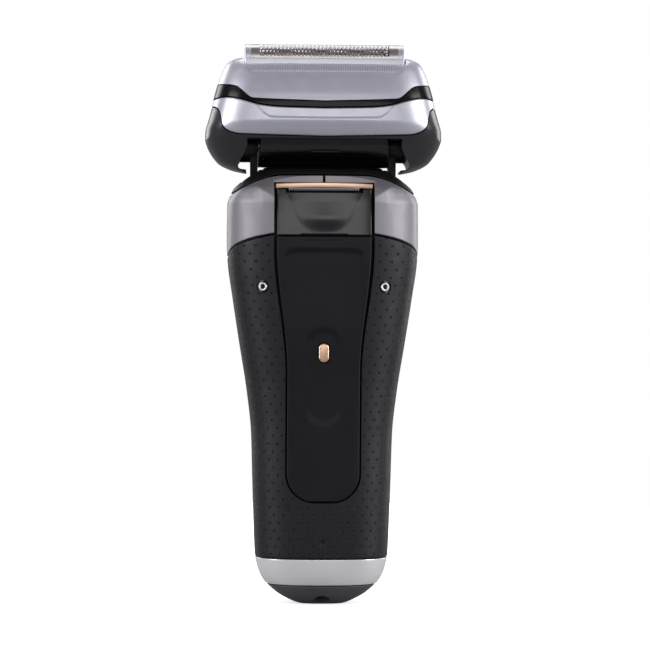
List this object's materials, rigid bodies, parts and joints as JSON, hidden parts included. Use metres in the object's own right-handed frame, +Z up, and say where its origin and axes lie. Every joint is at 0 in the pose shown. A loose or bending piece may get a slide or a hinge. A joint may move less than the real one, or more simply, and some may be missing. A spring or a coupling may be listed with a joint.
{
  "type": "foil shaver",
  "caption": "Cordless foil shaver with a swivelling head, lift-off foil cassette, floating foils, slide-up long-hair trimmer and waisted rubber grip.",
  "frame": {"origin": "lowest point of the rounded base, on the middle of the handle", "axes": "+Z up the handle towards the foils, X across the width, -Y the rear with the slide-up trimmer, +Y the front with the power button"},
  "size_m": [0.0694, 0.0384, 0.1635],
  "materials": {
    "grip_rubber": "soft matte elastomer with fine raised dots",
    "black_matte": "fine-grained matte black",
    "black_gloss": "polished piano black",
    "dark_plastic": "satin dark grey",
    "graphite": "satin metallic graphite lacquer",
    "silver": "satin silver lacquer",
    "chrome": "bright plated",
    "gold": "satin gold coating",
    "steel": "fine ground steel",
    "copper": "enamelled copper winding",
    "board": "green solder mask",
    "cell": "shrink-wrapped cell"
  },
  "bodies": {
    "root": {"base_cap": "dark_plastic", "base_band": "chrome", "base_seal": "grip_rubber", "socket_housing": "black_matte", "socket_pin_left": "gold", "socket_pin_right": "gold", "grip_shell": "grip_rubber", "dock_contact_left": "steel", "dock_contact_right": "steel", "front_panel": "black_gloss", "display_window": "black_gloss", "display_module": "dark_plastic", "power_button_bezel": "gold", "tactile_switch": "steel", "circuit_board": "board", "battery_cell": "cell", "chassis": "dark_plastic", "shoulder_collar": "graphite", "neck_collar": "black_matte", "neck_gasket": "grip_rubber", "pivot_yoke": "black_matte", "pivot_pin_left": "steel", "pivot_pin_right": "steel", "yoke_screw_1": "steel", "yoke_screw_2": "steel", "yoke_screw_3": "steel", "yoke_screw_4": "steel", "trimmer_bed": "black_matte"},
    "power_button": {"power_button": "black_matte"},
    "head_lock": {"head_lock_switch": "black_matte"},
    "trimmer": {"trimmer_slide": "black_matte", "trimmer_cover": "black_gloss", "trimmer_comb": "gold"},
    "trimmer_blade": {"trimmer_blade": "steel"},
    "trimmer_button": {"trimmer_button": "gold"},
    "head": {"head_carrier": "black_gloss", "head_trim": "silver", "motor_housing": "black_gloss", "pivot_bush_left": "dark_plastic", "pivot_bush_right": "dark_plastic", "motor_core": "steel", "motor_coil": "copper", "drive_cover": "grip_rubber"},
    "release_left": {"release_button_left": "black_matte"},
    "release_right": {"release_button_right": "black_matte"},
    "armature": {"motor_armature": "steel"},
    "cassette": {"cassette_base": "black_gloss", "cassette_frame": "silver"},
    "rear_foil": {"rear_foil": "steel", "rear_foil_frame": "silver"},
    "front_foil": {"front_foil": "steel", "front_foil_frame": "silver"},
    "rear_cutter": {"rear_cutter": "steel"},
    "front_cutter": {"front_cutter": "steel"},
    "lift_trimmer": {"lift_trimmer": "gold"},
    "lift_blade": {"lift_trimmer_blade": "steel"},
    "skin_guard": {"skin_guard": "silver"}
  },
  "joints": [
    {"name": "head_swivel", "type": "hinge", "parent": "root", "child": "head", "pos_m": [0, 0, 0.134], "axis": [1, 0, 0], "range_deg": [-20, 20], "stiffness_Nm_per_rad": 0.12},
    {"name": "cassette_release", "type": "slide", "parent": "head", "child": "cassette", "axis": [0, 0, 1], "range_m": [0, 0.025]},
    {"name": "release_press_left", "type": "slide", "parent": "head", "child": "release_left", "axis": [1, 0, 0], "range_m": [0, 0.0012], "stiffness_N_per_m": 400, "springref_m": -0.001},
    {"name": "release_press_right", "type": "slide", "parent": "head", "child": "release_right", "axis": [-1, 0, 0], "range_m": [0, 0.0012], "stiffness_N_per_m": 400, "springref_m": -0.001},
    {"name": "rear_foil_float", "type": "slide", "parent": "cassette", "child": "rear_foil", "axis": [0, 0, -1], "range_m": [0, 0.002], "stiffness_N_per_m": 400, "springref_m": -0.001},
    {"name": "front_foil_float", "type": "slide", "parent": "cassette", "child": "front_foil", "axis": [0, 0, -1], "range_m": [0, 0.002], "stiffness_N_per_m": 400, "springref_m": -0.001},
    {"name": "lift_trimmer_float", "type": "slide", "parent": "cassette", "child": "lift_trimmer", "axis": [0, 0, -1], "range_m": [0, 0.0015], "stiffness_N_per_m": 300, "springref_m": -0.001},
    {"name": "skin_guard_float", "type": "slide", "parent": "cassette", "child": "skin_guard", "axis": [0, 0, -1], "range_m": [0, 0.001], "stiffness_N_per_m": 300, "springref_m": -0.001},
    {"name": "motor_drive", "type": "slide", "parent": "head", "child": "armature", "axis": [1, 0, 0], "range_m": [-0.0008, 0.0008], "stiffness_N_per_m": 900},
    {"name": "rear_cutter_drive", "type": "slide", "parent": "rear_foil", "child": "rear_cutter", "axis": [1, 0, 0], "range_m": [-0.0008, 0.0008]},
    {"name": "front_cutter_drive", "type": "slide", "parent": "front_foil", "child": "front_cutter", "axis": [1, 0, 0], "range_m": [-0.0008, 0.0008]},
    {"name": "lift_blade_drive", "type": "slide", "parent": "lift_trimmer", "child": "lift_blade", "axis": [1, 0, 0], "range_m": [-0.0008, 0.0008]},
    {"name": "trimmer_slide", "type": "slide", "parent": "root", "child": "trimmer", "axis": [0, 0, 1], "range_m": [0, 0.006]},
    {"name": "trimmer_blade_drive", "type": "slide", "parent": "trimmer", "child": "trimmer_blade", "axis": [1, 0, 0], "range_m": [-0.0008, 0.0008], "stiffness_N_per_m": 100},
    {"name": "trimmer_button_press", "type": "slide", "parent": "trimmer", "child": "trimmer_button", "axis": [0, 1, 0], "range_m": [0, 0.0008], "stiffness_N_per_m": 300, "springref_m": -0.001},
    {"name": "power_button_press", "type": "slide", "parent": "root", "child": "power_button", "axis": [0, -1, 0], "range_m": [0, 0.0006], "stiffness_N_per_m": 800, "springref_m": -0.001},
    {"name": "head_lock_slide", "type": "slide", "parent": "root", "child": "head_lock", "axis": [1, 0, 0], "range_m": [0, 0.004]}
  ],
  "couplings": [
    {"joint": "rear_cutter_drive", "follows": "motor_drive", "ratio": 1},
    {"joint": "front_cutter_drive", "follows": "motor_drive", "ratio": 1},
    {"joint": "lift_blade_drive", "follows": "motor_drive", "ratio": 1}
  ]
}
